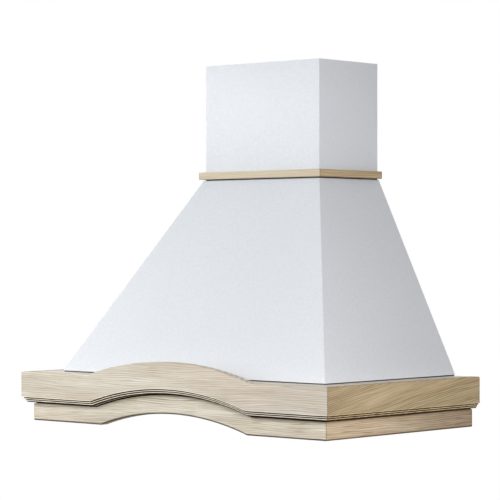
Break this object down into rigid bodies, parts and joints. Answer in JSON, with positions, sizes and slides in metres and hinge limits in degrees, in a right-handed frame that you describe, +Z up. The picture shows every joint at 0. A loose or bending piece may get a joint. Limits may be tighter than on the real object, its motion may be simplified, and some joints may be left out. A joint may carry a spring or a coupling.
{
  "type": "wooden range hood cover",
  "caption": "Wall-mounted chimney hood: tapered canopy and telescopic chimney on an arched two-tier wooden cornice, with hinged grease filters and a blower.",
  "frame": {"origin": "centre of the wall bracket's back face, on the wall, 300 mm above the cornice's lower edge", "axes": "+X to the right along the wall as seen from the room, +Y into the wall, +Z up"},
  "size_m": [0.9, 0.52, 0.806],
  "materials": {
    "front_wood": "fine-grained raw timber",
    "side_wood": "fine-grained raw timber, darker",
    "painted_sheet": "fine-textured powder coat",
    "galvanised": "galvanised sheet",
    "steel": "bright steel",
    "aluminium": "mill finish",
    "white_plastic": "fine matt",
    "grey_plastic": "fine matt",
    "black_plastic": "fine matt",
    "foam": "closed-cell foam strip",
    "frosted_lens": "frosted"
  },
  "bodies": {
    "hood": {"upper_rail_front": "front_wood", "upper_rail_left": "side_wood", "upper_rail_right": "side_wood", "lower_rail_front": "front_wood", "lower_rail_left": "side_wood", "lower_rail_right": "side_wood", "shelf_front": "side_wood", "chimney_ring_front": "front_wood", "shelf_left": "side_wood", "chimney_ring_left": "side_wood", "shelf_right": "side_wood", "chimney_ring_right": "side_wood", "corner_block_front_left": "side_wood", "pan_screw_front_left": "steel", "corner_block_front_right": "side_wood", "pan_screw_front_right": "steel", "corner_block_rear_left": "side_wood", "pan_screw_rear_left": "steel", "corner_block_rear_right": "side_wood", "pan_screw_rear_right": "steel", "canopy_shell": "painted_sheet", "chimney_cover": "painted_sheet", "underside_pan": "painted_sheet", "chimney_bracket": "galvanised", "rear_panel": "galvanised", "wall_bracket": "galvanised", "blower_housing_left": "galvanised", "blower_housing_right": "galvanised", "motor": "galvanised", "motor_bracket": "galvanised", "blower_support": "galvanised", "lamp_can_left": "steel", "lamp_lens_left": "frosted_lens", "lamp_can_right": "steel", "lamp_lens_right": "frosted_lens", "canopy_gasket": "foam", "switch_panel": "white_plastic", "outlet_collar": "black_plastic", "flap_pin": "steel", "terminal_box": "white_plastic", "cable_gland": "black_plastic", "capacitor": "white_plastic"},
    "chimney_extension": {"chimney_extension": "painted_sheet"},
    "fan_rotor": {"impeller": "black_plastic", "motor_shaft": "steel"},
    "flap_rear": {"damper_flap_rear": "aluminium"},
    "flap_front": {"damper_flap_front": "aluminium"},
    "filter_left": {"filter_frame_left": "aluminium", "filter_mesh_left": "aluminium"},
    "filter_right": {"filter_frame_right": "aluminium", "filter_mesh_right": "aluminium"},
    "catch_left": {"filter_catch_left": "grey_plastic"},
    "catch_right": {"filter_catch_right": "grey_plastic"},
    "button_light": {"button_light": "grey_plastic"},
    "button_stop": {"button_stop": "grey_plastic"},
    "button_speed_1": {"button_speed_1": "grey_plastic"},
    "button_speed_2": {"button_speed_2": "grey_plastic"},
    "button_speed_3": {"button_speed_3": "grey_plastic"}
  },
  "joints": [
    {"name": "chimney_slide", "type": "slide", "parent": "hood", "child": "chimney_extension", "axis": [0, 0, 1], "range_m": [0, 0.2]},
    {"name": "fan_spin", "type": "hinge", "parent": "hood", "child": "fan_rotor", "pos_m": [0, -0.18802, -0.05], "axis": [1, 0, 0], "continuous": true},
    {"name": "flap_rear_hinge", "type": "hinge", "parent": "hood", "child": "flap_rear", "pos_m": [0, -0.104, 0.1158], "axis": [1, 0, 0], "range_deg": [0, 75]},
    {"name": "flap_front_hinge", "type": "hinge", "parent": "hood", "child": "flap_front", "pos_m": [0, -0.104, 0.1158], "axis": [-1, 0, 0], "range_deg": [0, 75]},
    {"name": "filter_left_hinge", "type": "hinge", "parent": "hood", "child": "filter_left", "pos_m": [-0.1997, -0.0565, -0.2535], "axis": [1, 0, 0], "range_deg": [0, 70]},
    {"name": "catch_left_slide", "type": "slide", "parent": "filter_left", "child": "catch_left", "axis": [0, 1, 0], "range_m": [0, 0.005], "stiffness_N_per_m": 400, "springref_m": -0.004},
    {"name": "filter_right_hinge", "type": "hinge", "parent": "hood", "child": "filter_right", "pos_m": [0.1997, -0.0565, -0.2535], "axis": [1, 0, 0], "range_deg": [0, 70]},
    {"name": "catch_right_slide", "type": "slide", "parent": "filter_right", "child": "catch_right", "axis": [0, 1, 0], "range_m": [0, 0.005], "stiffness_N_per_m": 400, "springref_m": -0.004},
    {"name": "button_light_press", "type": "slide", "parent": "hood", "child": "button_light", "axis": [0, 0, 1], "range_m": [0, 0.003], "stiffness_N_per_m": 500, "springref_m": -0.003},
    {"name": "button_stop_press", "type": "slide", "parent": "hood", "child": "button_stop", "axis": [0, 0, 1], "range_m": [0, 0.003], "stiffness_N_per_m": 500, "springref_m": -0.003},
    {"name": "button_speed_1_press", "type": "slide", "parent": "hood", "child": "button_speed_1", "axis": [0, 0, 1], "range_m": [0, 0.003], "stiffness_N_per_m": 500, "springref_m": -0.003},
    {"name": "button_speed_2_press", "type": "slide", "parent": "hood", "child": "button_speed_2", "axis": [0, 0, 1], "range_m": [0, 0.003], "stiffness_N_per_m": 500, "springref_m": -0.003},
    {"name": "button_speed_3_press", "type": "slide", "parent": "hood", "child": "button_speed_3", "axis": [0, 0, 1], "range_m": [0, 0.003], "stiffness_N_per_m": 500, "springref_m": -0.003}
  ]
}
